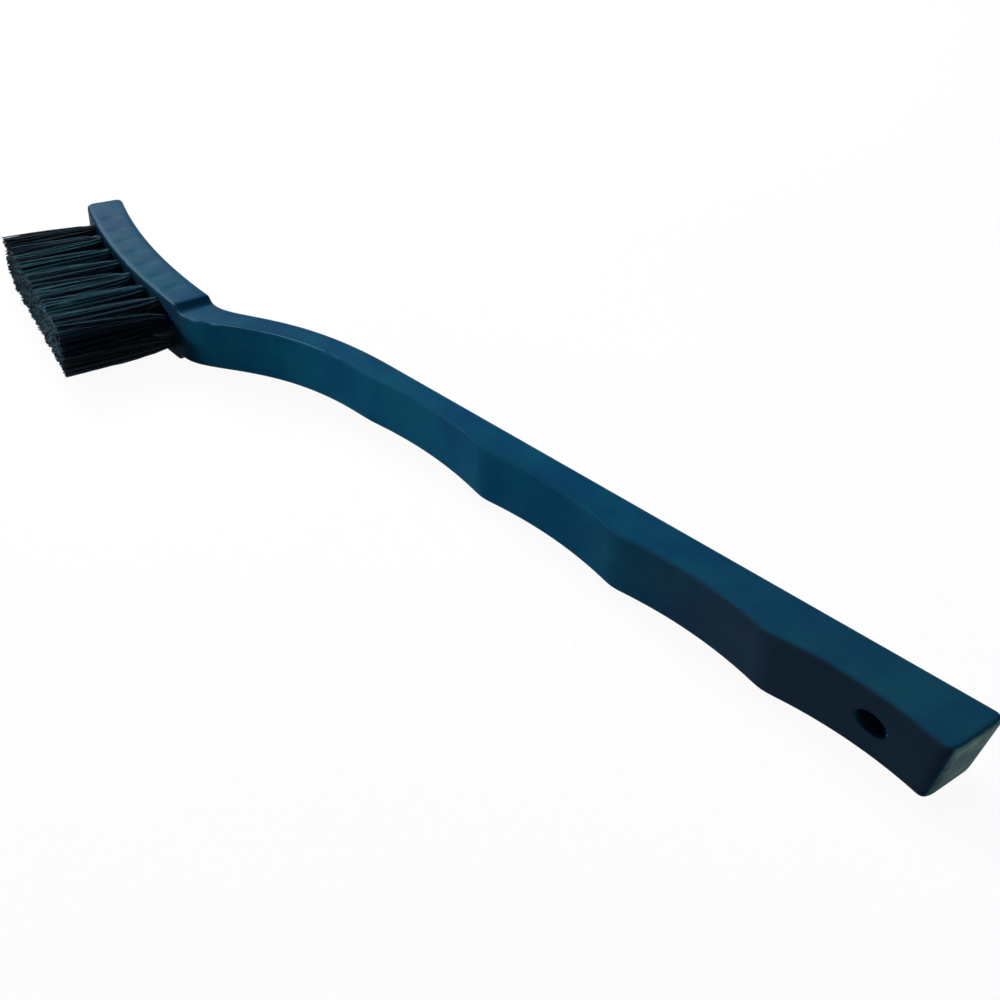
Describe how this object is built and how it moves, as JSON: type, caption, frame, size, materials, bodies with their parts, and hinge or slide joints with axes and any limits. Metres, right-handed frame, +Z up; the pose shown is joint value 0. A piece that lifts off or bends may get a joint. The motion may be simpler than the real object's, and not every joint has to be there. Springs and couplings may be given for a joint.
{
  "type": "anti-static brush",
  "caption": "Toothbrush-shaped conductive brush with a finger-grooved plastic handle, an S-shaped neck and a curved head of leaning bristle tufts, for cleaning electronics.",
  "frame": {"origin": "under the middle of the brush's box, on the surface that it lies on, on its side", "axes": "+X along the handle from the head to the tail's end, +Y away from the tufts, towards the handle's straight back, +Z up from the side it lies on"},
  "size_m": [0.1808, 0.0318, 0.009],
  "materials": {
    "handle_plastic": "satin moulded conductive plastic, dark petrol blue",
    "filament": "fine dark teal conductive nylon filaments",
    "anchor_brass": "plain flat brass strip"
  },
  "bodies": {
    "root": {"handle": "handle_plastic", "tuft_row_1": "filament", "anchor_1_1": "anchor_brass", "anchor_1_2": "anchor_brass", "anchor_1_3": "anchor_brass", "anchor_1_4": "anchor_brass", "anchor_1_5": "anchor_brass", "anchor_1_6": "anchor_brass", "anchor_1_7": "anchor_brass", "tuft_row_2": "filament", "anchor_2_1": "anchor_brass", "anchor_2_2": "anchor_brass", "anchor_2_3": "anchor_brass", "anchor_2_4": "anchor_brass", "anchor_2_5": "anchor_brass", "anchor_2_6": "anchor_brass", "anchor_2_7": "anchor_brass", "tuft_row_3": "filament", "anchor_3_1": "anchor_brass", "anchor_3_2": "anchor_brass", "anchor_3_3": "anchor_brass", "anchor_3_4": "anchor_brass", "anchor_3_5": "anchor_brass", "anchor_3_6": "anchor_brass", "anchor_3_7": "anchor_brass", "tuft_row_4": "filament", "anchor_4_1": "anchor_brass", "anchor_4_2": "anchor_brass", "anchor_4_3": "anchor_brass", "anchor_4_4": "anchor_brass", "anchor_4_5": "anchor_brass", "anchor_4_6": "anchor_brass", "anchor_4_7": "anchor_brass"}
  },
  "joints": []
}
